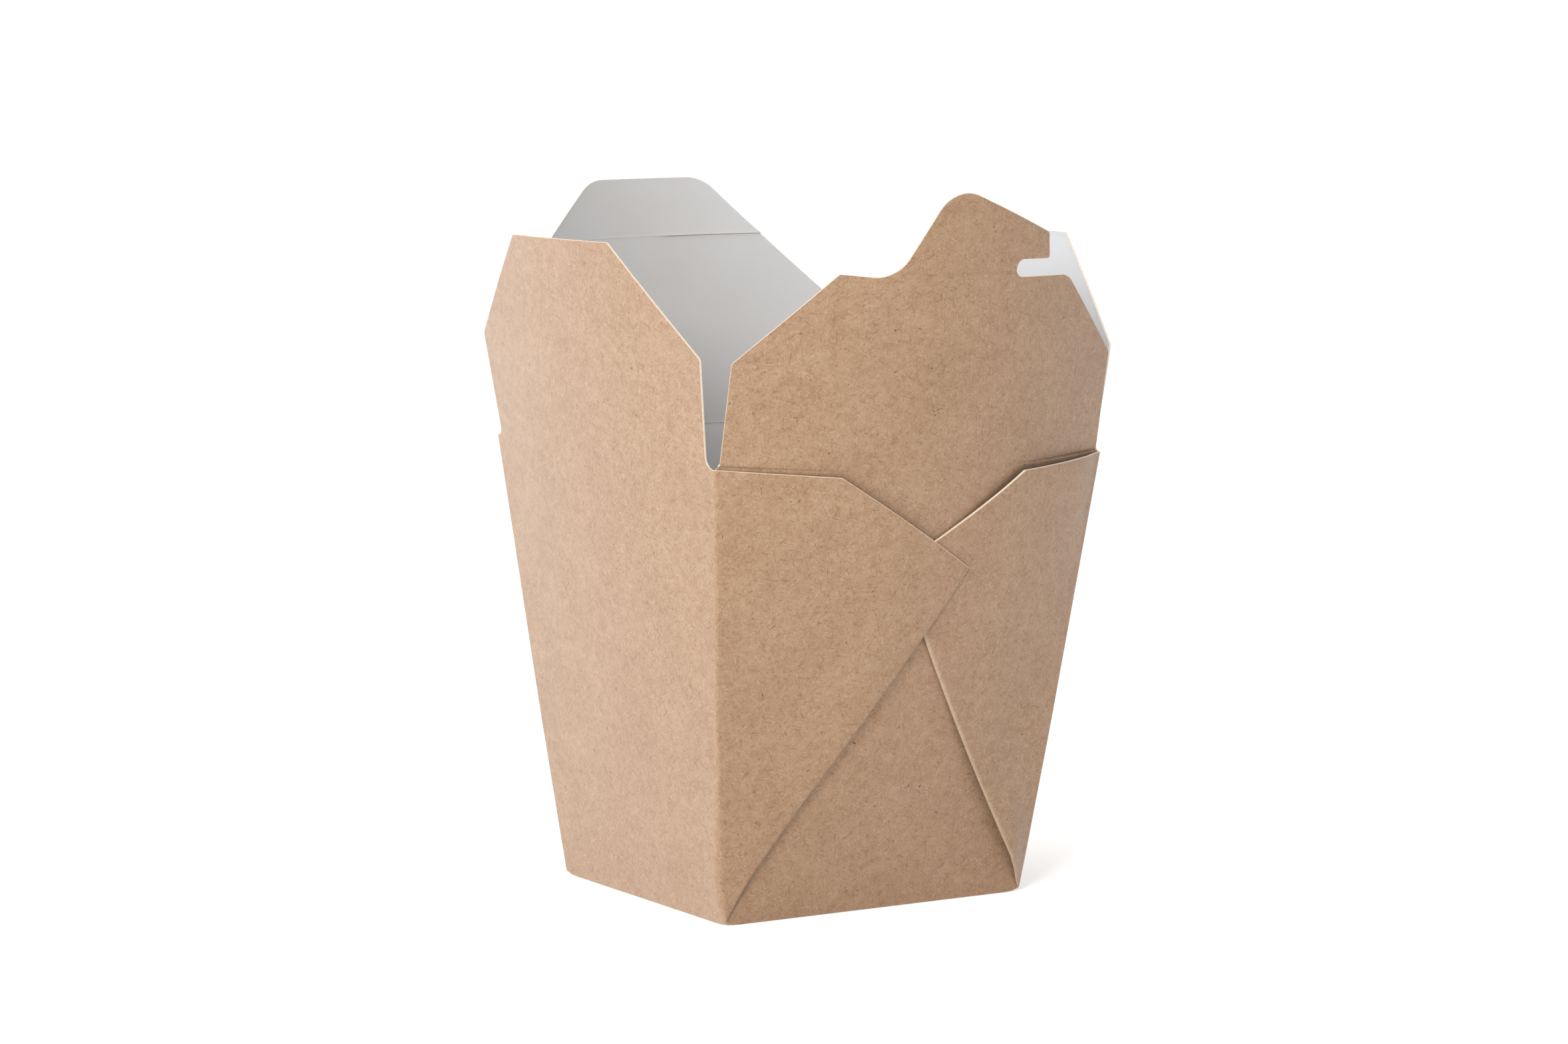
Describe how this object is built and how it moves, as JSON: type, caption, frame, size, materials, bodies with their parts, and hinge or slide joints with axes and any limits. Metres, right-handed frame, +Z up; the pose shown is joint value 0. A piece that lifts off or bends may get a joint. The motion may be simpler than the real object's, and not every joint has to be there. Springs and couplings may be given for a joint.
{
  "type": "folding takeaway food box",
  "caption": "Open folding takeaway box of kraft board: tapered walls, overlapping gussets and raised top flaps, with a hooked tongue and a slit tab that lock the lid.",
  "frame": {"origin": "middle of the base's underside, on the surface that the box stands on", "axes": "+Z up; the front gusseted wall with the hooked tongue faces -Y, the back gusseted wall faces +Y, and the plain walls face -X (left) and +X (right)"},
  "size_m": [0.1209, 0.145, 0.1576],
  "materials": {
    "kraft_board": "uncoated brown kraft outside and white coated inside, with a pale cut edge"
  },
  "bodies": {
    "carton": {"carton": "kraft_board"},
    "flap_left": {"flap_left": "kraft_board"},
    "flap_right": {"flap_right": "kraft_board"},
    "flap_front": {"flap_front": "kraft_board"},
    "flap_back": {"flap_back": "kraft_board"},
    "tongue": {"tongue": "kraft_board"},
    "tab": {"tab": "kraft_board"}
  },
  "joints": [
    {"name": "left_crease", "type": "hinge", "parent": "carton", "child": "flap_left", "pos_m": [-0.04878, 0, 0.10015], "axis": [0, 1, 0], "range_deg": [0, 99]},
    {"name": "right_crease", "type": "hinge", "parent": "carton", "child": "flap_right", "pos_m": [0.04878, 0, 0.10015], "axis": [0, -1, 0], "range_deg": [0, 96]},
    {"name": "front_crease", "type": "hinge", "parent": "carton", "child": "flap_front", "pos_m": [0, -0.04788, 0.10015], "axis": [-1, 0, 0], "range_deg": [0, 70]},
    {"name": "back_crease", "type": "hinge", "parent": "carton", "child": "flap_back", "pos_m": [0, 0.04788, 0.10015], "axis": [1, 0, 0], "range_deg": [0, 74]},
    {"name": "tongue_crease", "type": "hinge", "parent": "flap_front", "child": "tongue", "pos_m": [0, -0.0681, 0.14077], "axis": [-1, 0, 0], "range_deg": [0, 65]},
    {"name": "tab_crease", "type": "hinge", "parent": "flap_back", "child": "tab", "pos_m": [0, 0.0629, 0.14158], "axis": [1, 0, 0], "range_deg": [0, 75]}
  ]
}
